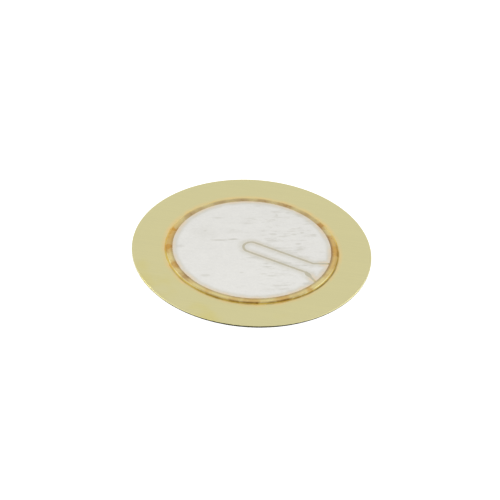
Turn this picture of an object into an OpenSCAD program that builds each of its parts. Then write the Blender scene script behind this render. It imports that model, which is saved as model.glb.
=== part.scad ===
// Piezoelectric sounder disc with a feedback electrode.
// A thin ceramic disc, silvered on both faces, is bonded to the middle of a round metal plate.
// The upper silver is printed in two parts. The main electrode covers most of the ceramic, and a
// narrow tongue that runs from the edge to the middle feeds the signal back to the driver.
// The origin is at the middle of the plate's back face. Z points from the plate to the ceramic,
// and X runs along the tongue towards its open end. All sizes are in millimetres.

/* [Metal plate] */
// Diameter of the plate
plate_d = 35; // [29:0.5:50]
// Thickness of the plate
plate_t = 0.30; // [0.10:0.01:0.50]
// Radius that stamping leaves round the plate's upper edge
plate_edge = 0.05; // [0.02:0.01:0.08]

/* [Ceramic disc] */
// Diameter of the ceramic
ceramic_d = 25; // [20:0.5:28]
// Thickness of the ceramic, without its silver
ceramic_t = 0.20; // [0.10:0.01:0.40]
// Radius of the ceramic's upper edge, worn round by tumbling
ceramic_edge = 0.03; // [0.01:0.01:0.05]

/* [Silver] */
// Thickness of each fired silver layer
silver_t = 0.01; // [0.008:0.001:0.02]
// Bare ceramic between the upper silver and the ceramic's wall
upper_margin = 1.0; // [0.5:0.1:2.0]
// Bare ceramic between the lower silver and the ceramic's wall
lower_margin = 0.3; // [0.1:0.1:1.0]

/* [Feedback tongue] */
// Width of the tongue between its parallel sides
tongue_w = 2.05; // [1.00:0.05:4.00]
// Bare gap between the tongue and the main electrode, the same all round
tongue_gap = 0.35; // [0.20:0.05:0.60]
// Where the tongue's round end is centred along X, from the middle of the disc
tongue_end_x = -0.2; // [-4.0:0.1:2.0]
// How far the tongue's axis lies beside the middle of the disc
tongue_y = 0.30; // [-1.00:0.05:1.00]
// Length of the flare at the tongue's open end, from the silver's edge inwards
flare_l = 2.2; // [1.0:0.1:4.0]
// Angle by which each side of the tongue turns out at the flare
flare_angle = 30; // [0:1:45]

/* [Bond] */
// Thickness of the adhesive film between the plate and the lower silver
bond_t = 0.01; // [0.005:0.001:0.02]
// How far the squeezed-out bead spreads over the plate from the ceramic's wall
bead_w = 0.20; // [0.10:0.05:0.40]
// How far the bead climbs the ceramic's wall, from the plate
bead_h = 0.13; // [0.05:0.01:0.20]
// Hollowness of the bead's face: 0 is straight, 1 meets the plate or the wall at a tangent
bead_hollow = 0.6; // [0:0.1:0.9]

/* [Hidden] */

$fn = 180;

plate_r = plate_d / 2;
ceramic_r = ceramic_d / 2;
upper_r = ceramic_r - upper_margin;
lower_r = ceramic_r - lower_margin;

// Heights of the faces where one layer ends and the next begins, from the plate's back face
plate_top = plate_t;
bond_top = plate_top + bond_t;
lower_top = bond_top + silver_t;
ceramic_top = lower_top + ceramic_t;

// How far a cut or an outline runs past what it trims
overrun = 1;

// Where the tongue's parallel sides end and its flare begins
flare_x = upper_r - flare_l;
// Where the flare's outline ends, clear of the silver's edge that trims it
clear_x = upper_r + overrun;

// The bead stays below the rounded edge of the ceramic
bead_climb = min(bead_h, ceramic_top - ceramic_edge - plate_top);

// Half the section of a disc whose upper edge is rounded. The rounding is at most half the disc's
// thickness.
module disc_section(r, t, edge) {
  round_r = min(edge, t / 2);
  square([r, t - round_r]);
  square([r - round_r, t]);
  translate([r - round_r, t - round_r]) circle(round_r);
}

// Section of the bead between the plate and the ceramic's wall: a triangle in that corner, with a
// round hollow whose arc leaves the slope's ends at the same angle
module bead_section() {
  slope_l = norm([bead_w, bead_climb]);
  toe_angle = atan2(bead_climb, bead_w);
  hollow_angle = bead_hollow * min(toe_angle, 90 - toe_angle);
  difference() {
    polygon([[0, 0], [bead_w, 0], [0, bead_climb]]);
    if (hollow_angle > 0) {
      hollow_r = slope_l / 2 / sin(hollow_angle);
      stand_off = hollow_r * cos(hollow_angle);
      translate([bead_w / 2 + stand_off * sin(toe_angle), bead_climb / 2 + stand_off * cos(toe_angle)])
        circle(hollow_r);
    }
  }
}

// Outline of the feedback tongue, grown by a clearance on every side and drawn past the silver's edge
module tongue_outline(grow) {
  half_w = tongue_w / 2 + grow;
  turn_x = flare_x - grow * tan(flare_angle / 2);
  clear_half_w = half_w + (clear_x - turn_x) * tan(flare_angle);
  translate([0, tongue_y]) {
    translate([tongue_end_x, 0]) circle(half_w);
    polygon([
      [tongue_end_x, -half_w], [turn_x, -half_w], [clear_x, -clear_half_w],
      [clear_x, clear_half_w], [turn_x, half_w], [tongue_end_x, half_w]
    ]);
  }
}

// Stamped plate: flat, with a rounded upper edge and a sharp lower one
module brass_plate() {
  color("#d1ca96") rotate_extrude() disc_section(plate_r, plate_t, plate_edge);
}

// Adhesive: it fills the space under the ceramic that the lower silver leaves, and it forms the bead
// outside the ceramic's wall
module bond_layer() {
  color("#b7863f") rotate_extrude() translate([0, plate_top]) {
    difference() {
      square([ceramic_r, bond_t + silver_t]);
      translate([0, bond_t]) square([lower_r, silver_t + overrun]);
    }
    translate([ceramic_r, 0]) bead_section();
  }
}

// Silver on the ceramic's lower face, which the bond joins to the plate
module lower_electrode() {
  color("#d8d6cf") translate([0, 0, bond_top]) cylinder(h = silver_t, r = lower_r);
}

// Fired ceramic: sharp below, where it was bonded, and rounded above
module ceramic_disc() {
  color("#c8b276") translate([0, 0, lower_top])
    rotate_extrude() disc_section(ceramic_r, ceramic_t, ceramic_edge);
}

// Upper silver around the tongue
module main_electrode() {
  color("#dedcd4") translate([0, 0, ceramic_top]) linear_extrude(silver_t) difference() {
    circle(upper_r);
    tongue_outline(tongue_gap);
  }
}

// The tongue itself, trimmed to the round of the upper silver
module feedback_electrode() {
  color("#dedcd4") translate([0, 0, ceramic_top]) linear_extrude(silver_t) intersection() {
    circle(upper_r);
    tongue_outline(0);
  }
}

brass_plate();
bond_layer();
lower_electrode();
ceramic_disc();
main_electrode();
feedback_electrode();
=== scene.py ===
"""The looks of a piezo sounder disc: a brass plate with a silvered ceramic disc bonded to it.

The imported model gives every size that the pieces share. Its frame has the origin at the middle of
the plate's back face, Z from the plate to the ceramic, and X along the feedback tongue. Shapes are
modelled in millimetres and turned to metres when a piece is finished.
"""

import math
from functools import partial

import bmesh
import bpy
from bpy.props import FloatProperty, FloatVectorProperty, IntProperty, PointerProperty
from mathutils import Matrix, Vector, geometry, kdtree, noise


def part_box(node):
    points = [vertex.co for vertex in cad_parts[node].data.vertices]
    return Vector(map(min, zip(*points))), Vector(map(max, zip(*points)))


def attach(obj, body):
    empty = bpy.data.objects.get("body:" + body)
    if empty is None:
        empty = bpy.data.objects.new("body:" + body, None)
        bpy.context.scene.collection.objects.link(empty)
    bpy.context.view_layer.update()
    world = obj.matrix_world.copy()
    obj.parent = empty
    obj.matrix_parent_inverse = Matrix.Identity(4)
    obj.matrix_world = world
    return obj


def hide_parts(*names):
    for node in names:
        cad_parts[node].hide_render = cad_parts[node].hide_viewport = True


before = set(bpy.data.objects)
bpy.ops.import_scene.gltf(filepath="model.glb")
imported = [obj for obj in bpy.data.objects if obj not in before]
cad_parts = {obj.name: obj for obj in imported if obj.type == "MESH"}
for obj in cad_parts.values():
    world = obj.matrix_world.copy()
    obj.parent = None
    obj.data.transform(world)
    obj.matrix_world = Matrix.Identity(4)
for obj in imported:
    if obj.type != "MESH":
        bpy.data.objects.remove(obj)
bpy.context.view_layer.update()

bl_info = {
    "name": "Piezo Sounder Disc",
    "version": (1, 0, 0),
    "blender": (4, 5, 0),
    "location": "3D View > Sidebar > Piezo Disc",
    "description": "Models a brass and ceramic piezo sounder disc with a feedback electrode",
    "category": "Object",
}

MM = 0.001  # metres in a millimetre
UP = Vector((0, 0, 1))
MERGE = 1e-4  # millimetres within which two points are one
SMOOTH_ANGLE = math.radians(20)  # up to which a bend between two faces is shaded smooth
SKEW_Y, SKEW_Z = 0.3713, 0.2361  # odd slopes, so that no two places in a shape sort alike
NOT_ZERO = 1e-4  # added to a sum that something is divided by
STRAIGHT_CUTS = 60  # so that the straight printed edges can wander
LEAST_STEPS = 8  # in the silver's round edge; the tongue's short one has just these
END_SHARE = 20  # one in this many of a full circle's steps is enough for the tongue's round end
MARGIN_RINGS = 8  # so that stains can change across the ceramic's bare margin
# Millimetres outside the ceramic where the brass is ringed, so that its film can fade outwards
FILM_RINGS = (0.9, 0.6, 0.45, 0.36, 0.28, 0.2, 0.1, -0.1)
UNDER_SILVER = 0.08  # millimetres that the margin's stains reach under the silver
PRINT_GRID = 0.3  # millimetres, so that the silver's colour can change near its edges
PRINT_SNAP = 0.02  # millimetres within which a cut goes through a point that is there already
THIN_WIDTH = 1.0  # millimetres over which the print thins out towards its edge
FLAW_DEPTH = 0.2  # millimetres that the silver drew back at the flaw beside the tongue's flare
FLAW_REACH = 0.5  # millimetres over which it did
OUT_OF_ROUND = 0.008  # millimetres that the ceramic's edge strays inwards at most

# Sockets of the Mix node when it mixes colours
MIX_A, MIX_B = 6, 7


def linear(hex_colour):
    """Linear red, green and blue of an sRGB colour written as #rrggbb."""
    channels = [int(hex_colour[i:i + 2], 16) / 255 for i in (1, 3, 5)]
    return [c / 12.92 if c <= 0.04045 else ((c + 0.055) / 1.055) ** 2.4 for c in channels]


def smooth_step(value):
    """0 below 0, 1 above 1, and a smooth rise between them."""
    t = min(1.0, max(0.0, value))
    return t * t * (3 - 2 * t)


def box_mm(name):
    """Lowest and highest corner of a CAD node, in millimetres."""
    return [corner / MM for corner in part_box(name)]


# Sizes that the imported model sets, in millimetres
PLATE_LOW, PLATE_HIGH = box_mm("brass_plate")
BOND_LOW, BOND_HIGH = box_mm("bond_layer")
LOWER_LOW, LOWER_HIGH = box_mm("lower_electrode")
CERAMIC_LOW, CERAMIC_HIGH = box_mm("ceramic_disc")
MAIN_LOW, MAIN_HIGH = box_mm("main_electrode")
TONGUE_TIP = box_mm("feedback_electrode")[0].x
PLATE_R = PLATE_HIGH.x
CERAMIC_R = CERAMIC_HIGH.x
SILVER_R = -MAIN_LOW.x
LOWER_SILVER_R = LOWER_HIGH.x

# Where adhesive has crept over the ceramic's rim and baked: the middle and the half width of each
# stain round the disc in degrees from X, how strong it is, and how brown, from orange (0) to brown (1)
STAINS = (
    (6, 3, 0.35, 0.0), (15, 10, 0.6, 0.0), (31, 12, 0.95, 0.05), (40, 4, 0.85, 0.3),
    (44.5, 3, 0.8, 0.45), (59.5, 3, 1.05, 0.4), (66, 3, 0.5, 0.5), (75, 4, 0.65, 0.8),
    (93, 5, 0.85, 0.7), (109.5, 4.5, 0.8, 0.9), (125, 6, 0.75, 1.0), (139, 6, 0.65, 1.0),
    (159, 4, 0.5, 0.9), (167.5, 5.5, 0.8, 0.9), (189.5, 4, 1.0, 0.0), (198, 13, 0.85, 0.0),
    (208.5, 5.5, 1.15, 0.2), (229.5, 3, 1.0, 0.3), (236, 3.5, 0.35, 0.0), (244, 4.5, 1.0, 0.9),
    (251, 2.5, 0.3, 0.0), (265, 2.5, 0.5, 0.0), (285.5, 3, 0.55, 0.1), (297.5, 5, 0.65, 0.15),
    (319, 3.5, 0.85, 0.1), (328.5, 4, 0.3, 0.6), (340, 2.5, 0.7, 0.1), (359.5, 3, 0.5, 0.6),
)
# Where the bead is darkened, all on the side that faces the camera: partly burnt adhesive and partly
# painted shade. Middle, half width and strength as above, and whether it is darkest where the bead
# meets the ceramic (0) or at its foot (1)
BURNT_AND_SHADE = (
    (211, 6, 0.3, 0.4), (234, 4, 0.35, 1.0), (247, 9, 0.5, 1.0), (262, 6, 0.65, 0.4),
    (273, 10, 0.95, 0.4), (286, 4, 1.0, 0.3), (295, 6, 0.95, 0.1), (300, 3.5, 1.15, 0.2),
    (311, 7, 0.8, 0.1), (319, 4.5, 1.0, 0.1), (329, 6, 0.9, 0.5), (338, 6, 0.9, 0.8),
    (350, 10, 1.1, 1.0), (5, 9, 0.95, 0.9), (16, 7, 0.85, 0.6), (26, 6, 1.0, 0.5), (33, 5, 0.7, 0.4),
)
# Where a painted highlight, the glint of the side lamps, makes the ceramic's rounded edge palest: middle,
# half width and strength as above
GLINT_ARCS = ((234, 7, 0.5), (347, 15, 0.6))
BORDER_FAR = 115  # degrees from X where the dark border beside the silver is widest
BORDER_DARK = 33  # degrees from X where it is darkest
# The darkest smudges on the silver, in millimetres: place along X and Y, length, width, and strength
SMUDGES = (
    (-3.5, 0.5, 2.6, 0.4, 0.85), (-5.0, -0.65, 3.6, 0.5, 0.6), (-7.9, 0.2, 0.8, 0.6, 0.45),
    (-0.6, 9.1, 0.6, 0.8, 0.5), (4.55, 7.25, 0.7, 0.5, 0.6), (3.7, 6.3, 0.9, 0.5, 0.5),
    (-7.7, 4.1, 2.4, 0.5, 0.35), (5.35, 4.6, 0.9, 0.5, 0.5), (-9.3, -4.9, 1.6, 0.8, 0.35),
    (1.0, 4.7, 1.2, 0.5, 0.45), (-0.6, 4.7, 1.0, 0.5, 0.35), (0.9, 3.3, 1.8, 0.5, 0.35),
    (-2.8, -9.1, 1.6, 0.6, 0.4), (1.3, -5.8, 0.8, 0.5, 0.35), (4.2, -4.4, 1.2, 0.5, 0.4),
    (-7.6, -0.3, 5.0, 4.0, 0.15),
)
ROLLED_ANGLE = 18  # degrees from X in which the brass was rolled
WIPED_ANGLE = 31  # degrees from X in which the silver was wiped
PRINT_SEED = 7  # for the way in which the silver's outline wanders

# The torn band of the plate's wall. It is made higher and dark on the side that faces the camera,
# as painted shade. Heights are shares of the plate's thickness.
# The band is highest on the side that faces the camera, where it paints the wall's shade.
WALL_SHADE_MIDDLE = 297  # degrees from X where it is highest
WALL_SHADE_MORE = 0.6  # how much higher it is there
TORN_RAGGED = 0.08  # how much its upper edge wavers
TORN_MOST = 0.8  # height that it never passes
TORN_CUT = 0.15  # millimetres, height at which the wall is cut before the band is shaped
TORN_STEP = 0.01  # millimetres, height of the step above the band
TORN_LEAN, TORN_WAVER = 0.012, 0.006  # millimetres that its foot leans in, and wavers
WALL_DEPTH = 0.03  # millimetres behind the plate's edge that still count as its wall

# How much these grow from one millimetre to the next along X, Y and Z
TARNISH_SLOPE = (-0.0068, -0.0188, 0)
SMUDGE_SLOPE = (0.037, 0.026, 0)
# The next slope is painted light: it whitens the silver towards the camera.
CAMERA_SIDE_LIGHT_SLOPE = (0.0007, -0.0015, 0)

PAPER_SIZE = 2.0  # metres from the middle of the paper to its sides
PAPER_GLOW = 0.48  # light that the paper gives off to the camera
LAMP_DISTANCE = 1.4  # metres from the disc to each lamp
# How bright the tent is overhead and at its opening, as shares of the rest
TENT_TOP, TENT_OPENING = 1.05, 0.95
# Elevations between which it grows brighter
TENT_TOP_FROM, TENT_TOP_TO = math.radians(45), math.radians(68)


# ---------------------------------------------------------------------------------------- settings


def colour_property(name, hex_colour, description):
    """A colour whose default is written as #rrggbb."""
    return FloatVectorProperty(
        name=name, description=description, default=linear(hex_colour), min=0, max=1, size=3,
        subtype="COLOR",
    )


def angle_property(name, description, degrees, **limits):
    """An angle, given in degrees."""
    return FloatProperty(
        name=name, description=description, default=math.radians(degrees), subtype="ANGLE", **limits,
    )


def length_property(name, description, default, least, most):
    """A small length, given in millimetres."""
    return FloatProperty(
        name=name, description=description, default=default * MM, min=least * MM, max=most * MM,
        precision=6, unit="LENGTH",
    )


class PlateSettings(bpy.types.PropertyGroup):
    """Sizes and colours of the stamped plate."""

    edge_radius: length_property(
        "Rolled Edge", "Radius that the die leaves round the plate's upper edge",
        default=0.05, least=0.01, most=0.1,
    )
    sheared_share: FloatProperty(
        name="Torn Share", description="Least share of the plate's thickness that tore in stamping",
        default=0.2, min=0.1, max=0.5, subtype="FACTOR",
    )
    colour: colour_property("Brass", "#D3CC9A", "Colour of the clean rolled brass")
    tarnish: colour_property("Tarnish", "#D3C987", "Colour of brass that has yellowed a little in air")
    film: colour_property("Film", "#E8C888", "Colour of the thin adhesive that spread over the brass")
    # This line is partly burnt adhesive and partly a painted shadow at the bead's foot.
    burnt: colour_property(
        "Burnt Line", "#86743A", "Colour of the line of burnt adhesive round the bead",
    )
    # The torn wall's colour is darker than torn brass: it also paints the shade of the wall that faces
    # the camera.
    torn_and_shade_colour: colour_property(
        "Torn Wall", "#36341C", "Colour of the dull band that tore when the plate was stamped",
    )


class AdhesiveSettings(bpy.types.PropertyGroup):
    """Sizes and colours of the bond and its bead."""

    hollow: length_property(
        "Hollow", "How far the bead's face lies behind a straight slope",
        default=0.02, least=0, most=0.05,
    )
    unevenness: FloatProperty(
        name="Unevenness", description="How much the bead's size changes round the disc",
        default=0.45, min=0, max=0.8, subtype="FACTOR",
    )
    colour: colour_property("Adhesive", "#D3B855", "Colour of the thin cured adhesive")
    amber: colour_property(
        "Amber", "#D39C3B", "Colour of the adhesive where it gathered and baked darker",
    )
    # This colour is partly burnt adhesive and partly painted shade on the side that faces the camera.
    burnt: colour_property(
        "Burnt", "#886410", "Colour of the adhesive where it is darkest, at the bead's foot",
    )


class CeramicSettings(bpy.types.PropertyGroup):
    """Sizes and colours of the ceramic disc."""

    edge_radius: length_property(
        "Worn Edge", "Radius of the ceramic's upper edge, worn round by tumbling",
        default=0.1, least=0.01, most=0.1,
    )
    colour: colour_property("Ceramic", "#D0BF80", "Colour of the bare fired ceramic")
    # This colour is partly worn ceramic and partly a painted highlight on the rounded edge.
    worn: colour_property("Worn Ceramic", "#FCF4B4", "Colour of the ceramic where its edge is worn")
    border: colour_property("Border", "#C2BDD8", "Tint that firing gave the ceramic beside the silver")
    gap: colour_property(
        "Bare Ceramic", "#B7B19C", "Colour of the ceramic in the bare gaps between the electrodes",
    )
    stain: colour_property(
        "Orange Stain", "#BF8D2E", "Colour of the adhesive that has crept over the rim",
    )
    brown_stain: colour_property(
        "Brown Stain", "#A98B58", "Colour of the adhesive where it has baked brown",
    )
    # This colour is partly burnt adhesive and partly painted shade on the side that faces the camera.
    burnt: colour_property(
        "Burnt Rim", "#805A0C", "Colour of the ceramic's rim where the adhesive burnt",
    )


class SilverSettings(bpy.types.PropertyGroup):
    """Sizes and colours of the printed silver."""

    tongue_width: length_property(
        "Tongue Width", "Width of the feedback tongue between its parallel sides",
        default=2.05, least=1, most=4,
    )
    tongue_offset: length_property(
        "Tongue Offset", "How far the tongue's axis lies beside the disc's middle",
        default=0.3, least=-1, most=1,
    )
    gap: length_property(
        "Bare Line", "Width of the bare line between the tongue and the main silver",
        default=0.35, least=0.2, most=0.6,
    )
    flare_length: length_property(
        "Flare Length", "Length of the tongue's flare, inwards from the silver's edge",
        default=2.2, least=1, most=4,
    )
    flare_angle: angle_property(
        "Flare Angle", "Angle by which each side of the tongue turns out", 30, min=0,
        max=math.radians(45),
    )
    spread: length_property(
        "Paste Spread", "How far the paste ran past its round edge before it dried",
        default=0.09, least=0, most=0.2,
    )
    wander: length_property(
        "Edge Wander", "How far the printed edge strays from its line",
        default=0.02, least=0, most=0.05,
    )
    colour: colour_property("Silver", "#E5E4E0", "Colour of the fired silver")
    thin: colour_property(
        "Thin Silver", "#DBD9D1", "Colour of the silver beside its edges, where it is thin",
    )
    warm: colour_property(
        "Thinnest Silver", "#E1D3BC", "Colour of the silver where the ceramic shows through it",
    )
    smudge: colour_property(
        "Smudge", "#C8C6BC", "Colour of the grey streaks that wiping leaves on the silver",
    )


class StageSettings(bpy.types.PropertyGroup):
    """The camera, the floor and the lamps."""

    azimuth: angle_property("Azimuth", "Direction of the camera round the disc, 0 looking along Y", 25.2)
    elevation: angle_property("Elevation", "Height of the camera above the floor", 37.5)
    roll: angle_property("Roll", "How far the camera is turned about its own line of sight", 3.8)
    distance: FloatProperty(
        name="Distance", description="Distance from the camera to the disc",
        default=0.36, min=0.1, unit="LENGTH",
    )
    lens: FloatProperty(
        name="Lens", description="Focal length of the camera", default=177.5, min=20, unit="CAMERA",
    )
    offset: FloatVectorProperty(
        name="Offset", description="How far the camera stands right of and above the disc's middle",
        default=(-0.248 * MM, 0.219 * MM), size=2, precision=6, unit="LENGTH",
    )
    paper: colour_property("Paper", "#F3F3F3", "Colour of the paper under the disc")
    sky: FloatProperty(
        name="Sky", description="Brightness of the white tent round the disc", default=0.9, min=0,
    )
    side_power: FloatProperty(
        name="Side Lamps", description="Power of each soft box beside the disc", default=3.5, min=0,
        unit="POWER",
    )
    top_power: FloatProperty(
        name="Top Lamp", description="Power of the soft box above the disc", default=0.4, min=0,
        unit="POWER",
    )
    steps: IntProperty(
        name="Round Steps", description="Number of straight steps in a full circle",
        default=720, min=90, max=1440,
    )


class DiscSettings(bpy.types.PropertyGroup):
    """Everything that can be changed about the piezo disc."""

    plate: PointerProperty(type=PlateSettings)
    adhesive: PointerProperty(type=AdhesiveSettings)
    ceramic: PointerProperty(type=CeramicSettings)
    silver: PointerProperty(type=SilverSettings)
    stage: PointerProperty(type=StageSettings)


# --------------------------------------------------------------------------------------- materials


def add_node(tree, kind, inputs=None, stops=(), **settings):
    """Adds a shader node. Settings are its properties, inputs the values of its sockets by name or
    number, and stops the (place, colour) pairs of a colour ramp. A value that is a node or a socket
    is linked, a node by its first output in use."""
    made = tree.nodes.new("ShaderNode" + kind)
    for name, value in settings.items():
        setattr(made, name, value)
    for place, colour in stops:
        elements = made.color_ramp.elements
        element = elements[0] if place == 0 else elements[1] if place == 1 else elements.new(place)
        element.color = (*colour, 1)
    for key, value in (inputs or {}).items():
        if isinstance(value, bpy.types.Node):
            value = next(socket for socket in value.outputs if socket.enabled)
        if isinstance(value, bpy.types.NodeSocket):
            tree.links.new(value, made.inputs[key])
        else:
            made.inputs[key].default_value = value
    return made


def new_material(name, *stored):
    """An empty material, the function that adds a node to it, and sockets with the place on the
    object in millimetres and with the values that are stored on its points under the given names."""
    material = bpy.data.materials.new(name)
    material.use_nodes = True
    material.node_tree.nodes.clear()
    add = partial(add_node, material.node_tree)
    place = add("TexCoord").outputs["Object"]
    scaled = add("VectorMath", {0: place, 1: (1 / MM,) * 3}, operation="MULTIPLY")
    values = [add("Attribute", attribute_name=value).outputs["Fac"] for value in stored]
    return material, add, scaled.outputs["Vector"], *values


def rgba(colour):
    """A colour with full alpha, as sockets take it."""
    return (*colour, 1)


# Nearly all values of a noise texture lie between these
NOISE_SPAN = {"From Min": 0.3, "From Max": 0.7}


def cold_rolled_brass(settings):
    """Cold-rolled brass sheet, cleaned and left bare. It is a pale satin yellow with faint rolling
    lines, a little tarnish in clouds, adhesive on it beside the bead, a dark line at the bead's foot that
    is partly burnt adhesive and partly painted shadow, and a dull wall where the punch tore it, darkened
    further with painted shade on the side that faces the camera."""
    material, add, place, film, burnt, torn = new_material("cold_rolled_brass", "film", "burnt", "torn")
    turned = add("Mapping", {"Vector": place, "Rotation": (0, 0, math.radians(-ROLLED_ANGLE))})
    # Rolling lines are about 0.02 mm apart on the real sheet; 0.12 mm is the finest that shows
    lines = add("Mapping", {"Vector": turned, "Scale": (1 / 9, 1 / 0.12, 1)})
    grain = add("TexNoise", {"Vector": lines, "Scale": 1.0, "Detail": 3.0})
    # Tarnish lies in clouds about 9 mm across, most of it on the side where the sheet was held
    cloud = add("TexNoise", {"Vector": place, "Scale": 1 / 9.1, "Detail": 3.0, "Roughness": 0.6})
    held = add("VectorMath", {0: place, 1: TARNISH_SLOPE}, operation="DOT_PRODUCT")
    aged = add("Math", {0: cloud, 1: held}, operation="ADD")
    yellowed = add(
        "MapRange", {"Value": aged, "From Min": 0.7, "From Max": 0.95, "To Max": 0.9},
        interpolation_type="SMOOTHSTEP",
    )
    sheet = add(
        "Mix", {0: yellowed, MIX_A: rgba(settings.colour), MIX_B: rgba(settings.tarnish)},
        data_type="RGBA",
    )
    shade = add("MapRange", {"Value": grain, **NOISE_SPAN, "To Min": 0.965, "To Max": 1.02})
    # The film of adhesive spread in patches between 1 and 2 mm across
    spread = add("TexNoise", {"Vector": place, "Scale": 1 / 1.43, "Detail": 3.0})
    patchy = add(
        "MapRange", {"Value": spread, "From Min": 0.3, "From Max": 0.65, "To Min": 0.3, "To Max": 1.0},
    )
    covered = add("Math", {0: film, 1: patchy}, operation="MULTIPLY")
    coated = add("Mix", {0: covered, MIX_A: sheet, MIX_B: rgba(settings.film)}, data_type="RGBA")
    colour = add("VectorMath", {0: coated, 1: shade}, operation="MULTIPLY")
    # The burnt coat is partly burnt adhesive and partly a painted shadow at the bead's foot.
    # The torn coat is partly the dull torn band and partly painted shade on the side that faces the
    # camera.
    for amount, coat in ((burnt, settings.burnt), (torn, settings.torn_and_shade_colour)):
        colour = add("Mix", {0: amount, MIX_A: colour, MIX_B: rgba(coat)}, data_type="RGBA")
    satin = add("MapRange", {"Value": grain, **NOISE_SPAN, "To Min": 0.30, "To Max": 0.40})
    roughness = add("Math", {0: torn, 1: 0.3, 2: satin}, operation="MULTIPLY_ADD")
    bump = add("Bump", {"Height": grain, "Strength": 0.12, "Distance": 0.002 * MM})
    shader = add(
        "BsdfPrincipled",
        {"Base Color": colour, "Metallic": 1.0, "Roughness": roughness, "Normal": bump},
    )
    add("OutputMaterial", {"Surface": shader})
    return material


def silver_smudges(add, place):
    """How grey wiping left the silver: faint streaks all over it, and the darkest smudges."""
    # Wiping marks are a little over 2 mm long and about 0.6 mm wide
    turned = add("Mapping", {"Vector": place, "Rotation": (0, 0, math.radians(-WIPED_ANGLE))})
    drawn = add("Mapping", {"Vector": turned, "Scale": (1 / 2.22, 1 / 0.625, 1)})
    streaks = add("TexNoise", {"Vector": drawn, "Scale": 1.0, "Detail": 4.0, "Roughness": 0.6})
    wiped = add(
        "MapRange", {"Value": streaks, "From Min": 0.48, "From Max": 0.78},
        interpolation_type="SMOOTHSTEP",
    )
    # It was handled in patches about 5 mm across, most of them on the side of the tongue's flare
    patches = add("TexNoise", {"Vector": place, "Scale": 1 / 5, "Detail": 2.0})
    side = add("VectorMath", {0: place, 1: SMUDGE_SLOPE}, operation="DOT_PRODUCT")
    handled = add("Math", {0: patches, 1: side}, operation="ADD")
    where = add(
        "MapRange", {"Value": handled, "From Min": 0.4, "From Max": 0.75, "To Min": 0.1, "To Max": 0.8},
        interpolation_type="SMOOTHSTEP",
    )
    amount = add("Math", {0: wiped, 1: where}, operation="MULTIPLY")
    # The streaks fray the edges of the smudges
    frayed = add("MapRange", {"Value": streaks, **NOISE_SPAN, "To Min": -0.5, "To Max": 0.5})
    for x, y, length, width, strength in SMUDGES:
        mark = add(
            "Mapping",
            {
                "Vector": place, "Location": (x, y, MAIN_HIGH.z),
                "Rotation": (0, 0, math.radians(WIPED_ANGLE)), "Scale": (length / 2, width / 2, 1),
            },
            vector_type="TEXTURE",
        )
        away = add("VectorMath", {0: mark}, operation="LENGTH")
        ragged = add("Math", {0: away, 1: frayed}, operation="ADD")
        faded = add(
            "MapRange", {"Value": ragged, "From Min": 1.2, "From Max": 0.2, "To Max": strength},
            interpolation_type="SMOOTHSTEP",
        )
        amount = add("Math", {0: amount, 1: faded}, operation="MAXIMUM")
    return amount


def silver_cover(add, place, pimples):
    """How white the silver is, as a factor near 1: whiter on its pimples and where the paste is
    thicker, which is in clouds of about 2 mm, and whiter towards the camera as painted light."""
    clouds = add("TexNoise", {"Vector": place, "Scale": 1 / 2, "Detail": 5.0, "Roughness": 0.65})
    lit_side = add("VectorMath", {0: place, 1: CAMERA_SIDE_LIGHT_SLOPE}, operation="DOT_PRODUCT")
    cover = add("MapRange", {"Value": clouds, **NOISE_SPAN, "To Min": -0.014, "To Max": 0.016})
    cover = add("Math", {0: cover, 1: lit_side}, operation="ADD")
    mottle = add("MapRange", {"Value": pimples, **NOISE_SPAN, "To Min": 0.98, "To Max": 1.02})
    return add("Math", {0: mottle, 1: cover}, operation="ADD")


def fired_silver(settings):
    """Screen-printed silver paste, fired on and left as it is. It is milky white with hardly any
    shine, a fine pimpled surface, and faint grey streaks where it was wiped."""
    material, add, place, thin = new_material("fired_silver", "thin")
    # The paste flowed out unevenly, in waves a little over 1 mm long
    uneven = add("TexNoise", {"Vector": place, "Scale": 1 / 1.25, "Detail": 3.0})
    thinned = add(
        "MapRange", {"Value": uneven, "From Min": 0.35, "From Max": 0.6, "To Min": 0.6, "To Max": 1.05},
    )
    thinned = add("Math", {0: thin, 1: thinned}, operation="MULTIPLY")
    print_colour = add(
        "ValToRGB", {"Fac": thinned},
        stops=((0, settings.colour), (1, settings.warm), (0.35, settings.thin)),
    )
    smudged = silver_smudges(add, place)
    colour = add("Mix", {0: smudged, MIX_A: print_colour, MIX_B: rgba(settings.smudge)}, data_type="RGBA")
    # Silver flakes and the screen leave pimples about 0.05 mm across; 0.3 mm is the finest that shows
    pimples = add("TexNoise", {"Vector": place, "Scale": 1 / 0.333, "Detail": 4.0})
    cover = silver_cover(add, place, pimples)
    mottled = add("VectorMath", {0: colour, 1: cover}, operation="MULTIPLY")
    roughness = add("MapRange", {"Value": smudged, "To Min": 0.62, "To Max": 0.48})
    bump = add("Bump", {"Height": pimples, "Strength": 0.2, "Distance": 0.004 * MM})
    shader = add(
        "BsdfPrincipled",
        {"Base Color": mottled, "Metallic": 0.85, "Roughness": roughness, "Normal": bump},
    )
    add("OutputMaterial", {"Surface": shader})
    return material


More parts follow.
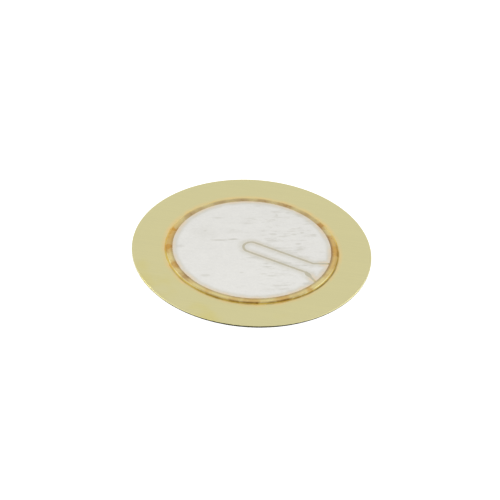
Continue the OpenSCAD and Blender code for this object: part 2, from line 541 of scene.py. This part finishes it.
def fired_piezo_ceramic(settings):
    """Fired lead zirconate titanate. It is a dull tan with a fine speckle, darker beside the silver,
    and the adhesive that crept over its rim has stained it amber and left it glossier."""
    material, add, place, stain, tone, worn, border, burnt = new_material(
        "fired_piezo_ceramic", "stain", "tone", "worn", "border", "burnt",
    )
    # The grains are some 0.003 mm across; a speckle of 0.3 mm is the finest that shows
    speckle = add("TexNoise", {"Vector": place, "Scale": 1 / 0.286, "Detail": 3.0})
    speckled = add("MapRange", {"Value": speckle, **NOISE_SPAN, "To Min": 0.93, "To Max": 1.05})
    body = add("VectorMath", {0: settings.colour[:], 1: speckled}, operation="MULTIPLY")
    outward = add("VectorMath", {0: place, 1: (1, 1, 0)}, operation="MULTIPLY")
    radius = add("VectorMath", {0: outward}, operation="LENGTH")
    # The bare lines inside the silver are greyer than the margin
    inside = add("MapRange", {"Value": radius, "From Min": SILVER_R - 0.4, "From Max": SILVER_R})
    colour = add("Mix", {0: inside, MIX_A: rgba(settings.gap), MIX_B: body}, data_type="RGBA")
    # The adhesive soaked in unevenly, in patches a little over 1 mm across
    uneven = add("TexNoise", {"Vector": place, "Scale": 1 / 1.25, "Detail": 2.0})
    patchy = add("MapRange", {"Value": uneven, **NOISE_SPAN, "To Min": 0.8, "To Max": 1.1})
    soaked = add("Math", {0: stain, 1: patchy}, operation="MULTIPLY", use_clamp=True)
    soak_colour = add(
        "Mix", {0: tone, MIX_A: rgba(settings.stain), MIX_B: rgba(settings.brown_stain)},
        data_type="RGBA",
    )
    # The pale edge coat is partly wear and partly a painted highlight where the side lamps glint.
    coats = (
        (worn, rgba(settings.worn), "MIX"), (soaked, soak_colour, "MIX"),
        (border, rgba(settings.border), "MULTIPLY"), (burnt, rgba(settings.burnt), "MIX"),
    )
    # The burnt coat is partly burnt adhesive and partly painted shade on the side that faces the camera.
    for amount, coat, blend in coats:
        colour = add("Mix", {0: amount, MIX_A: colour, MIX_B: coat}, data_type="RGBA", blend_type=blend)
    roughness = add("MapRange", {"Value": soaked, "To Min": 0.35, "To Max": 0.25})
    bump = add("Bump", {"Height": speckle, "Strength": 0.15, "Distance": 0.004 * MM})
    shader = add(
        "BsdfPrincipled",
        {
            "Base Color": colour, "Roughness": roughness, "IOR": 1.5, "Specular IOR Level": 0.3,
            "Normal": bump,
        },
    )
    add("OutputMaterial", {"Surface": shader})
    return material


def baked_epoxy(settings):
    """Epoxy adhesive, squeezed out and baked. It is glossy, olive where it is thin and dark amber
    where it gathered."""
    material, add, place, gathered, burnt = new_material("baked_epoxy", "gathered", "burnt")
    # It flowed and set in waves about 1 mm long
    flow = add("TexNoise", {"Vector": place, "Scale": 1 / 1.11, "Detail": 3.0})
    uneven = add("Math", {0: flow, 1: 0.6, 2: -0.3}, operation="MULTIPLY_ADD")
    depth = add("Math", {0: gathered, 1: uneven}, operation="ADD")
    amount = add(
        "MapRange", {"Value": depth, "From Min": 0.3, "From Max": 1.3}, interpolation_type="SMOOTHSTEP",
    )
    colour = rgba(settings.colour)
    # The burnt coat is partly burnt adhesive and partly painted shade on the side that faces the camera.
    for strength, coat in ((amount, settings.amber), (burnt, settings.burnt)):
        colour = add("Mix", {0: strength, MIX_A: colour, MIX_B: rgba(coat)}, data_type="RGBA")
    satin = add("MapRange", {"Value": flow, "To Min": 0.25, "To Max": 0.45})
    roughness = add("Math", {0: burnt, 1: 0.45, 2: satin}, operation="MULTIPLY_ADD")
    # Baking left the skin a little porous, so it shines less than clear epoxy
    shader = add(
        "BsdfPrincipled",
        {"Base Color": colour, "Roughness": roughness, "IOR": 1.5, "Specular IOR Level": 0.3},
    )
    add("OutputMaterial", {"Surface": shader})
    return material


def white_paper(settings):
    """Matte white paper under the disc. To the camera it adds a little light of its own, so that it
    is white away from the disc and keeps the soft shadow beside it."""
    material, add, _ = new_material("white_paper")
    matte = add("BsdfDiffuse", {"Color": rgba(settings.paper)})
    path = add("LightPath")
    seen = add(
        "Math", {0: path.outputs["Is Camera Ray"], 1: path.outputs["Is Glossy Ray"]},
        operation="MAXIMUM",
    )
    lift = add("Math", {0: seen, 1: PAPER_GLOW}, operation="MULTIPLY")
    glow = add("Emission", {"Strength": lift})
    both = add("AddShader", {0: matte, 1: glow})
    add("OutputMaterial", {"Surface": both})
    return material


# ------------------------------------------------------------------------------------------ shapes


def skewed(vertex):
    """A number that differs between any two places in a shape, to sort them by."""
    return vertex.co.x + SKEW_Y * vertex.co.y + SKEW_Z * vertex.co.z


def sort_by_place(bm):
    """Rebuilds a shape with its elements in order of place, because some operators leave them in an
    order that changes from run to run."""
    bm.verts.sort(key=skewed)
    for elements in (bm.edges, bm.faces):
        elements.sort(key=lambda element: sum(skewed(vertex) for vertex in element.verts))
    mesh = bpy.data.meshes.new("sorted")
    bm.to_mesh(mesh)
    bm.clear()
    bm.from_mesh(mesh)
    bpy.data.meshes.remove(mesh)


def finish_piece(bm, name, material, slot, *nodes, **values):
    """Turns a shape in millimetres into a piece that stands for CAD nodes and rides with them. Each
    of the values is stored on its points, worked out from their places in millimetres."""
    bmesh.ops.remove_doubles(bm, verts=bm.verts, dist=MERGE)
    bmesh.ops.recalc_face_normals(bm, faces=bm.faces)
    sort_by_place(bm)
    bmesh.ops.scale(bm, vec=(MM, MM, MM), verts=bm.verts)
    mesh = bpy.data.meshes.new(name)
    bm.to_mesh(mesh)
    bm.free()
    mesh.shade_smooth()
    mesh.set_sharp_from_angle(angle=SMOOTH_ANGLE)
    mesh.materials.append(material)
    for key, value_at in values.items():
        attribute = mesh.attributes.new(key, "FLOAT", "POINT")
        for point, vertex in zip(attribute.data, mesh.vertices):
            point.value = value_at(vertex.co / MM)
    piece = bpy.data.objects.new(name, mesh)
    bpy.context.scene.collection.objects.link(piece)
    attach(piece, "root")
    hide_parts(*nodes)


def rim_edges(bm, height):
    """The edges of the round rim that lies at a height."""
    return [e for e in bm.edges if all(abs(v.co.z - height) < MERGE for v in e.verts)]


def top_face(bm, height):
    """The largest face that lies flat at a height and looks up."""
    flat = [f for f in bm.faces if abs(f.calc_center_median().z - height) < MERGE]
    return max((f for f in flat if f.normal.z > 0.9), key=lambda f: f.calc_area())


def round_over(bm, edges, radius, segments):
    """Rounds edges over to a radius."""
    bmesh.ops.bevel(
        bm, geom=edges, offset=radius, offset_type="OFFSET", affect="EDGES", segments=segments,
        profile=0.5, material=-1, clamp_overlap=True,
    )


def disc(steps, radius, low, high, edge_radius, segments):
    """A flat disc whose upper edge is rounded over, with a narrow flat ring inside the rounding."""
    bm = bmesh.new()
    bmesh.ops.create_cone(
        bm, cap_ends=True, segments=steps, radius1=radius, radius2=radius, depth=high - low,
        matrix=Matrix.Translation((0, 0, (low + high) / 2)),
    )
    round_over(bm, rim_edges(bm, high), edge_radius, segments)
    bmesh.ops.inset_region(bm, faces=[top_face(bm, high)], thickness=edge_radius / 2)
    return bm


def arc_strengths(place, arcs):
    """How strong each arc is at a place round the disc. The ends of the arcs are ragged."""
    wander = 3 * noise.noise(place * 1.1) + 2.5 * noise.noise(place * 2.3)  # degrees
    angle = math.degrees(math.atan2(place.y, place.x)) + wander
    strengths = []
    for middle, half_width, strength, *_ in arcs:
        away = abs((angle - middle + 180) % 360 - 180)
        strengths.append(strength * smooth_step(0.5 + 0.45 * (1 - away / half_width)))
    return strengths


def strongest(place, arcs, share=lambda arc: 1):
    """The strength of the strongest arc at a place, each arc having a share of its own."""
    return max(strength * share(arc) for strength, arc in zip(arc_strengths(place, arcs), arcs))


def stain_tone(place):
    """How brown the stain is at a place."""
    strengths = arc_strengths(place, STAINS)
    tones = [strength * arc[3] for strength, arc in zip(strengths, STAINS)]
    return sum(tones) / (sum(strengths) + NOT_ZERO)


def bare_margin(place):
    """1 on the bare margin of the ceramic, and 0 inside the silver's edge."""
    return smooth_step((place.to_2d().length - SILVER_R) / UNDER_SILVER + 1)


def ceramic_stain(place):
    """Orange stains fade a little towards the silver, and brown ones towards both edges."""
    inwards = (CERAMIC_R - place.to_2d().length) / (CERAMIC_R - SILVER_R)
    orange = 1 - 0.15 * smooth_step(inwards)
    brown = 1.1 * smooth_step(1.6 - abs(inwards - 0.5) / 0.4)
    shade = orange + (brown - orange) * stain_tone(place)
    return strongest(place, STAINS) * shade * bare_margin(place)


def ceramic_border(place):
    """How much the ceramic is darkened beside the silver: by a thin line all round, and by a wider
    band on one side."""
    outwards = place.to_2d().length - SILVER_R
    line = 1 - smooth_step((outwards - 0.2) / 0.35)
    angle = math.radians(BORDER_FAR) - math.atan2(place.y, place.x)
    far = smooth_step(1.2 * math.cos(angle) - 0.1)
    band = 0.45 * smooth_step(1.6 - abs(outwards - 0.4) / 0.3)
    right = smooth_step(2.5 * math.cos(math.atan2(place.y, place.x) - math.radians(BORDER_DARK)) - 1.5)
    line *= 0.6 + 0.4 * right
    return (line + (band - line) * far) * bare_margin(place)


def ceramic_worn(place):
    """How much paler the ceramic's rounded upper edge is: partly wear all round, and partly a painted
    highlight, strongest at the glint arcs.
    """
    down = (CERAMIC_HIGH.z - place.z) / 0.02
    worn = 0.55 + 0.4 * noise.noise(place * 1.7) + strongest(place, GLINT_ARCS)
    return smooth_step(down) * min(1.0, worn)


def ceramic_burnt(place):
    """How dark the ceramic's rim is, from just inside its upper edge down: partly burnt adhesive and
    partly painted shade on the side that faces the camera.
    """
    down = smooth_step((place.to_2d().length - CERAMIC_R) / 0.2 + 1.2)
    return down * strongest(place, BURNT_AND_SHADE, lambda arc: 1 - arc[3])


def brass_film(place):
    """How much adhesive has spread over the brass beside the bead."""
    outwards = (place.to_2d().length - BOND_HIGH.x) / 0.75
    return (0.6 + 0.4 * min(1.0, strongest(place, STAINS))) * (1 - smooth_step(outwards))


def brass_burnt(place):
    """How dark the line is on the brass at the bead's foot: partly burnt adhesive and partly a painted
    shadow.
    """
    outwards = (place.to_2d().length - BOND_HIGH.x) / 0.2
    foot = strongest(place, BURNT_AND_SHADE, lambda arc: max(0.5, arc[3]))
    return foot * (1 - smooth_step(outwards)) * (place.z > PLATE_HIGH.z - MERGE)


def bead_amber(place):
    """How much darker the bead is where more adhesive gathered. It stayed paler beside brown stains."""
    return strongest(place, STAINS) * (1 - 0.7 * stain_tone(place))


def bead_burnt(place):
    """How dark the bead is between its meeting with the ceramic and its foot: partly burnt adhesive and
    partly painted shade.
    """
    outwards = (place.to_2d().length - CERAMIC_R) / (BOND_HIGH.x - CERAMIC_R)
    return strongest(place, BURNT_AND_SHADE, lambda arc: 1 - 0.9 * smooth_step(abs(outwards - arc[3])))


def torn_height(place, share):
    """Height up to which the plate's wall tore, at a place round it. It is raised on the side that
    faces the camera, so that the dark band there paints that wall's shade."""
    angle = math.radians(WALL_SHADE_MIDDLE) - math.atan2(place.y, place.x)
    worn = WALL_SHADE_MORE * max(0.0, math.cos(angle)) ** 5
    ragged = TORN_RAGGED * noise.noise(place.to_2d().to_3d() * 1.5)
    return PLATE_HIGH.z * min(TORN_MOST, share + worn + ragged)


def is_torn(place, share):
    """1 on the torn band of the plate's wall, which also carries painted shade, and 0 above it."""
    on_wall = place.to_2d().length > PLATE_R - WALL_DEPTH
    return float(on_wall and place.z < torn_height(place, share) + TORN_STEP / 2)


def draw_in(vertex, radius, distance):
    """Moves a point inwards, in millimetres, on a disc that has the given radius."""
    share = 1 - distance / radius
    vertex.co.x *= share
    vertex.co.y *= share


def plate_shape(settings, steps):
    """The stamped plate: a rolled upper edge, a smooth cut band, and below it the torn band, which
    leans in a little and wavers. The rings on its face carry the adhesive's film."""
    bm = disc(steps, PLATE_R, PLATE_LOW.z, PLATE_HIGH.z, settings.edge_radius / MM, segments=6)
    ring_r = PLATE_R - 1.5 * settings.edge_radius / MM
    for outwards in FILM_RINGS:
        next_r = CERAMIC_R + outwards
        bmesh.ops.inset_region(bm, faces=[top_face(bm, PLATE_HIGH.z)], thickness=ring_r - next_r)
        ring_r = next_r
    for height in (TORN_CUT, TORN_CUT + TORN_STEP):
        bmesh.ops.bisect_plane(
            bm, geom=bm.verts[:] + bm.edges[:] + bm.faces[:], dist=MERGE, plane_co=(0, 0, height),
            plane_no=UP,
        )
    for vertex in bm.verts:
        above = vertex.co.z - TORN_CUT
        if -MERGE < above < TORN_STEP + MERGE and vertex.co.to_2d().length > PLATE_R - MERGE:
            vertex.co.z = torn_height(vertex.co, settings.sheared_share) + above
        elif vertex.co.z < MERGE:
            draw_in(vertex, PLATE_R, TORN_LEAN + TORN_WAVER * noise.noise(vertex.co * 3))
    return bm


def ceramic_shape(settings, steps):
    """The ceramic disc: its edge strays a little from round, and the top is ringed so that stains
    can change across the bare margin."""
    bm = disc(steps, CERAMIC_R, CERAMIC_LOW.z, CERAMIC_HIGH.z, settings.edge_radius / MM, segments=5)
    for _ in range(MARGIN_RINGS):
        bmesh.ops.inset_region(
            bm, faces=[top_face(bm, CERAMIC_HIGH.z)], thickness=(CERAMIC_R - SILVER_R) / MARGIN_RINGS,
        )
    for vertex in bm.verts:
        if vertex.co.to_2d().length > CERAMIC_R - 2 * settings.edge_radius / MM:
            waver = noise.noise(vertex.co.to_2d().to_3d() * 1.2)
            draw_in(vertex, CERAMIC_R, OUT_OF_ROUND * (0.5 + 0.5 * waver))
    return bm


def swell_bead(bm, unevenness):
    """Makes the bead wider and higher where more adhesive came out: in swells of about 3 mm, in less
    of about 0.8 mm, and where the ceramic is stained."""
    for vertex in bm.verts:
        flat = vertex.co.to_2d()
        outside = flat.length - CERAMIC_R
        above = vertex.co.z - BOND_LOW.z
        if outside > -MERGE:
            swell = 1 + unevenness * (
                1.2 * noise.noise(flat.to_3d() * 0.35) + 0.5 * noise.noise(flat.to_3d() * 1.3)
                + 0.7 * (min(1.0, strongest(vertex.co, STAINS)) - 0.6)
            )
            flat *= (CERAMIC_R + outside * swell) / flat.length
            if vertex.co.z > CERAMIC_LOW.z + MERGE:
                above *= swell
            vertex.co = Vector((flat.x, flat.y, BOND_LOW.z + above))


def bond_shape(settings, steps):
    """The adhesive: a film under the ceramic with a pocket for the lower silver, and the hollow bead
    that was squeezed out."""
    bm = bmesh.new()
    section = [
        (0, BOND_LOW.z), (BOND_HIGH.x, BOND_LOW.z), (CERAMIC_R, BOND_HIGH.z), (CERAMIC_R, CERAMIC_LOW.z),
        (LOWER_SILVER_R, CERAMIC_LOW.z), (LOWER_SILVER_R, LOWER_LOW.z), (0, LOWER_LOW.z),
    ]
    points = [bm.verts.new((x, 0, z)) for x, z in section]
    lines = [bm.edges.new(pair) for pair in zip(points, points[1:])]
    toe, head = points[1].co.copy(), points[2].co.copy()
    bmesh.ops.subdivide_edges(bm, edges=[lines[1]], cuts=7)
    inward = (head - toe).cross(Vector((0, 1, 0))).normalized()
    for vertex in bm.verts:
        along = (head.z - vertex.co.z) / (head.z - toe.z)
        if CERAMIC_R + MERGE < vertex.co.x < BOND_HIGH.x - MERGE:
            vertex.co += inward * 4 * settings.hollow / MM * along * (1 - along)
    bmesh.ops.spin(
        bm, geom=bm.verts[:] + bm.edges[:], cent=(0, 0, 0), axis=UP, angle=math.tau, steps=steps,
        use_merge=True,
    )
    bmesh.ops.remove_doubles(bm, verts=bm.verts, dist=MERGE)
    swell_bead(bm, settings.unevenness)
    return bm


def add_arc(bm, start, centre, angle, steps):
    """Runs a chain of edges from a vertex round a centre."""
    bmesh.ops.spin(bm, geom=[start], cent=centre, axis=UP, angle=angle, steps=steps, use_merge=False)


def tongue_sides(settings, grow):
    """Points of the tongue's outline, grown by a gap, for its lower side: on the silver's edge, at
    the flare's turn and at the start of the round end. The upper side is their mirror image about
    the tongue's axis, but for the point on the silver's edge."""
    half = settings.tongue_width / MM / 2 + grow
    axis_y = settings.tongue_offset / MM
    angle = settings.flare_angle
    turn_x = SILVER_R - settings.flare_length / MM - grow * math.tan(angle / 2)
    end_x = TONGUE_TIP + settings.tongue_width / MM / 2
    sides = []
    for side in (-1, 1):
        turn = Vector((turn_x, axis_y + side * half))
        far = turn + 3 * settings.flare_length / MM * Vector((math.cos(angle), side * math.sin(angle)))
        crossings = geometry.intersect_line_sphere_2d(turn, far, Vector((0, 0)), SILVER_R)
        rim = next(point for point in crossings if point is not None)
        sides.append((rim, turn, Vector((end_x, axis_y + side * half))))
    return sides, Vector((end_x, axis_y))


def print_outline(bm, outer_angle, outer_steps, sides, end_centre, end_steps):
    """Joins the tongue's sides by its round end, and their points on the silver's edge by an arc of
    the given angle."""
    (low_rim, low_turn, low_end), (high_rim, high_turn, high_end) = [
        [bm.verts.new(point.to_3d()) for point in side] for side in sides
    ]
    add_arc(bm, low_end, end_centre.to_3d(), -math.pi, end_steps)
    add_arc(bm, high_rim, (0, 0, 0), outer_angle, outer_steps)
    pairs = ((low_rim, low_turn), (low_turn, low_end), (high_end, high_turn), (high_turn, high_rim))
    bmesh.ops.subdivide_edges(bm, edges=[bm.edges.new(pair) for pair in pairs], cuts=STRAIGHT_CUTS)
    bmesh.ops.remove_doubles(bm, verts=bm.verts, dist=MERGE)


def flaw_middle(settings):
    """The middle of the gap where the flare's lower side begins, a little way along it."""
    sides, _ = tongue_sides(settings, settings.gap / MM / 2)
    rim, turn, _ = sides[0]
    return turn.lerp(rim, 0.25)


def print_flaw(place, middle):
    """How far the silver's edge drew back at the flaw beside the tongue's flare, in millimetres."""
    return FLAW_DEPTH * smooth_step(1.7 - (place - middle).length / FLAW_REACH)


def grid_face(bm, reach, step):
    """Cuts a flat face into a square grid, so that a value can change across it."""
    for direction in (Vector((1, 0, 0)), Vector((0, 1, 0))):
        for number in range(-round(reach / step), round(reach / step) + 1):
            bmesh.ops.bisect_plane(
                bm, geom=bm.verts[:] + bm.edges[:] + bm.faces[:], dist=PRINT_SNAP,
                plane_co=direction * number * step, plane_no=direction,
            )


def edge_finder(bm):
    """Finds how far a place is from the outline of a flat face, in millimetres."""
    outline = [vertex.co.copy() for vertex in bm.verts]
    finder = kdtree.KDTree(len(outline))
    for number, place in enumerate(outline):
        finder.insert(place, number)
    finder.balance()
    return lambda place: finder.find(place.to_2d().to_3d())[2]


def stray_outline(bm, settings):
    """Lets a printed outline wander a little, run past its round edge and draw back at the flaw."""
    wander = settings.wander / MM
    noise.seed_set(PRINT_SEED)
    flaw = flaw_middle(settings)
    for vertex in bm.verts:
        # The screen leaves a waver of about 0.3 mm, and half as much over 0.1 mm
        spot = vertex.co * 3
        coarse, fine = noise.noise_vector(spot).to_2d(), noise.noise_vector(spot * 3).to_2d()
        stray = coarse * wander + fine * wander / 2
        place = vertex.co.to_2d()
        stray += (place - flaw).normalized() * print_flaw(place, flaw)
        outer = smooth_step((place.length - SILVER_R) / 0.2 + 1)
        stray += place / SILVER_R * settings.spread / MM * outer
        vertex.co += stray.to_3d()


def raise_print(bm, low, high):
    """Gives a flat patch of silver its thickness, and rounds its upper edge."""
    bmesh.ops.translate(bm, vec=(0, 0, low), verts=bm.verts)
    raised = bmesh.ops.extrude_face_region(bm, geom=bm.faces[:])
    bmesh.ops.translate(
        bm, vec=(0, 0, high - low),
        verts=[item for item in raised["geom"] if isinstance(item, bmesh.types.BMVert)],
    )
    bmesh.ops.recalc_face_normals(bm, faces=bm.faces)
    edges = [e for e in rim_edges(bm, high) if any(abs(f.normal.z) < 0.5 for f in e.link_faces)]
    round_over(bm, edges, (high - low) / 2, segments=2)


def silver_shape(settings, steps, outer_angle, sides, end_centre):
    """One printed patch of silver, and a function that gives how thin the print is at a place."""
    bm = bmesh.new()
    outer_steps = max(LEAST_STEPS, round(steps * outer_angle / math.tau))
    print_outline(bm, outer_angle, outer_steps, sides, end_centre, steps // END_SHARE)
    stray_outline(bm, settings)
    from_edge = edge_finder(bm)
    sort_by_place(bm)
    bmesh.ops.edgeloop_fill(bm, edges=bm.edges[:])
    grid_face(bm, SILVER_R, PRINT_GRID)
    raise_print(bm, MAIN_LOW.z, MAIN_HIGH.z)

    def thin(place):
        """The print thins out towards its edges, and most towards its round edge."""
        outer = smooth_step((place.to_2d().length - SILVER_R) / 1.5 + 1.3)
        return (0.5 + 0.5 * outer) * smooth_step(1 - from_edge(place) / THIN_WIDTH)

    return bm, thin


# --------------------------------------------------------------------------------------- operators


class PIEZODISC_OT_plate(bpy.types.Operator):
    """Model the stamped brass plate"""

    bl_idname = "piezo_disc.plate"
    bl_label = "Stamped Plate"
    bl_options = {"REGISTER", "UNDO"}

    def execute(self, context):
        settings = context.scene.piezo_disc
        bm = plate_shape(settings.plate, settings.stage.steps)
        material = cold_rolled_brass(settings.plate)
        finish_piece(
            bm, "stamped_plate", material, "brass_sheet", "brass_plate", film=brass_film,
            burnt=brass_burnt, torn=lambda place: is_torn(place, settings.plate.sheared_share),
        )
        return {"FINISHED"}


class PIEZODISC_OT_bond(bpy.types.Operator):
    """Model the adhesive film and its squeezed-out bead"""

    bl_idname = "piezo_disc.bond"
    bl_label = "Adhesive"
    bl_options = {"REGISTER", "UNDO"}

    def execute(self, context):
        settings = context.scene.piezo_disc
        bm = bond_shape(settings.adhesive, settings.stage.steps)
        material = baked_epoxy(settings.adhesive)
        finish_piece(
            bm, "adhesive", material, "adhesive", "bond_layer", gathered=bead_amber, burnt=bead_burnt,
        )
        return {"FINISHED"}


class PIEZODISC_OT_ceramic(bpy.types.Operator):
    """Model the ceramic disc"""

    bl_idname = "piezo_disc.ceramic"
    bl_label = "Ceramic"
    bl_options = {"REGISTER", "UNDO"}

    def execute(self, context):
        settings = context.scene.piezo_disc
        bm = ceramic_shape(settings.ceramic, settings.stage.steps)
        material = fired_piezo_ceramic(settings.ceramic)
        finish_piece(
            bm, "ceramic", material, "piezo_ceramic", "ceramic_disc", stain=ceramic_stain,
            tone=stain_tone, border=ceramic_border, worn=ceramic_worn, burnt=ceramic_burnt,
        )
        return {"FINISHED"}


class PIEZODISC_OT_silver(bpy.types.Operator):
    """Print the two upper silver electrodes and give the lower one its finish"""

    bl_idname = "piezo_disc.silver"
    bl_label = "Printed Silver"
    bl_options = {"REGISTER", "UNDO"}

    def execute(self, context):
        settings = context.scene.piezo_disc
        material = fired_silver(settings.silver)
        # The main silver's round edge goes the long way round, and the tongue's short one goes back
        patches = (
            ("main_silver", "main_electrode", settings.silver.gap / MM, math.tau),
            ("tongue_silver", "feedback_electrode", 0, 0),
        )
        for name, node, grow, full_turn in patches:
            sides, end = tongue_sides(settings.silver, grow)
            (low_rim, *_), (high_rim, *_) = sides
            outer_angle = full_turn - high_rim.angle(low_rim)
            bm, thin = silver_shape(settings.silver, settings.stage.steps, outer_angle, sides, end)
            finish_piece(bm, name, material, "fired_silver", node, thin=thin)
        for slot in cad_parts["lower_electrode"].material_slots:
            slot.material = material
        return {"FINISHED"}


class PIEZODISC_OT_stage(bpy.types.Operator):
    """Set up the camera, the white paper and the soft light"""

    bl_idname = "piezo_disc.stage"
    bl_label = "Stage"
    bl_options = {"REGISTER", "UNDO"}

    def execute(self, context):
        settings = context.scene.piezo_disc.stage
        context.scene.view_settings.view_transform = "Standard"
        make_camera(context.scene, settings)
        make_floor(context.scene, settings)
        make_sky(context.scene, settings)
        make_lamps(context.scene, settings)
        return {"FINISHED"}


# ------------------------------------------------------------------------------------------- stage


def towards(azimuth, elevation):
    """The direction from the disc to something at an azimuth and an elevation."""
    flat = math.cos(elevation)
    return Vector((math.sin(azimuth) * flat, -math.cos(azimuth) * flat, math.sin(elevation)))


def make_camera(scene, settings):
    """The camera looks just beside the middle of the plate, turned a little about its line of sight."""
    camera = bpy.data.objects.new("camera", bpy.data.cameras.new("camera"))
    camera.data.lens = settings.lens
    camera.data.clip_start = 0.01
    back = towards(settings.azimuth, settings.elevation)
    turn = (-back).to_track_quat("-Z", "Y").to_matrix().to_4x4() @ Matrix.Rotation(settings.roll, 4, "Z")
    aside = Matrix.Translation((*settings.offset, 0))
    camera.matrix_world = Matrix.Translation(back * settings.distance) @ turn @ aside
    scene.collection.objects.link(camera)
    scene.camera = camera


def make_floor(scene, settings):
    """A wide sheet of white paper that the disc lies on."""
    bm = bmesh.new()
    bmesh.ops.create_grid(bm, x_segments=1, y_segments=1, size=PAPER_SIZE)
    mesh = bpy.data.meshes.new("paper")
    bm.to_mesh(mesh)
    bm.free()
    mesh.materials.append(white_paper(settings))
    paper = bpy.data.objects.new("paper", mesh)
    scene.collection.objects.link(paper)


def make_sky(scene, settings):
    """A white tent round the disc, a little brighter overhead and darker on the camera's side, where
    its opening is. The camera sees it white."""
    world = bpy.data.worlds.new("tent")
    scene.world = world
    world.use_nodes = True
    world.node_tree.nodes.clear()
    add = partial(add_node, world.node_tree)
    direction = add("TexCoord").outputs["Generated"]
    height = add("SeparateXYZ", {"Vector": direction})
    overhead = add(
        "MapRange",
        {
            "Value": height.outputs["Z"], "From Min": math.sin(TENT_TOP_FROM),
            "From Max": math.sin(TENT_TOP_TO), "To Min": settings.sky, "To Max": TENT_TOP * settings.sky,
        },
        interpolation_type="SMOOTHSTEP",
    )
    front = towards(settings.azimuth, 0)
    facing = add("VectorMath", {0: direction, 1: front[:]}, operation="DOT_PRODUCT")
    opening = add(
        "MapRange", {"Value": facing, "From Max": 0.8, "To Min": 1.0, "To Max": TENT_OPENING},
        interpolation_type="SMOOTHSTEP",
    )
    level = add("Math", {0: overhead, 1: opening}, operation="MULTIPLY")
    path = add("LightPath")
    strength = add("Mix", {0: path.outputs["Is Camera Ray"], 2: level, 3: 1.0})
    glow = add("Background", {"Color": rgba(linear("#FFFFFF")), "Strength": strength})
    add("OutputWorld", {"Surface": glow})


def make_lamps(scene, settings):
    """A soft box on each side of the disc and a large one above and behind it."""
    # Degrees round from the camera and up from the floor, length of a side in metres, and power
    lamps = (
        ("left_box", -102, 27, 0.35, settings.side_power),
        ("right_box", 108, 27, 0.42, settings.side_power),
        ("top_box", 180, 50, 1.2, settings.top_power),
    )
    for name, turn, elevation, side, power in lamps:
        lamp = bpy.data.lights.new(name, "AREA")
        lamp.shape = "SQUARE"
        lamp.size = side
        lamp.energy = power
        placed = bpy.data.objects.new(name, lamp)
        direction = towards(settings.azimuth + math.radians(turn), math.radians(elevation))
        placed.location = direction * LAMP_DISTANCE
        placed.rotation_euler = direction.to_track_quat("Z", "Y").to_euler()
        placed.visible_camera = False
        scene.collection.objects.link(placed)


# ------------------------------------------------------------------------------------------- panel


class PIEZODISC_PT_panel(bpy.types.Panel):
    """Buttons and settings of the piezo disc"""

    bl_idname = "PIEZODISC_PT_panel"
    bl_label = "Piezo Disc"
    bl_space_type = "VIEW_3D"
    bl_region_type = "UI"
    bl_category = "Piezo Disc"

    def draw(self, context):
        settings = context.scene.piezo_disc
        parts = (
            (PIEZODISC_OT_plate, settings.plate), (PIEZODISC_OT_bond, settings.adhesive),
            (PIEZODISC_OT_ceramic, settings.ceramic), (PIEZODISC_OT_silver, settings.silver),
            (PIEZODISC_OT_stage, settings.stage),
        )
        for operator, group in parts:
            box = self.layout.box()
            box.operator(operator.bl_idname)
            for name in group.__annotations__:
                box.prop(group, name)


CLASSES = (
    PlateSettings, AdhesiveSettings, CeramicSettings, SilverSettings, StageSettings, DiscSettings,
    PIEZODISC_OT_plate, PIEZODISC_OT_bond, PIEZODISC_OT_ceramic, PIEZODISC_OT_silver,
    PIEZODISC_OT_stage, PIEZODISC_PT_panel,
)


def register():
    for cls in CLASSES:
        bpy.utils.register_class(cls)
    bpy.types.Scene.piezo_disc = PointerProperty(type=DiscSettings)


def unregister():
    del bpy.types.Scene.piezo_disc
    for cls in reversed(CLASSES):
        bpy.utils.unregister_class(cls)


def main():
    register()
    bpy.ops.piezo_disc.plate()
    bpy.ops.piezo_disc.bond()
    bpy.ops.piezo_disc.ceramic()
    bpy.ops.piezo_disc.silver()
    bpy.ops.piezo_disc.stage()


if __name__ == "__main__":
    main()
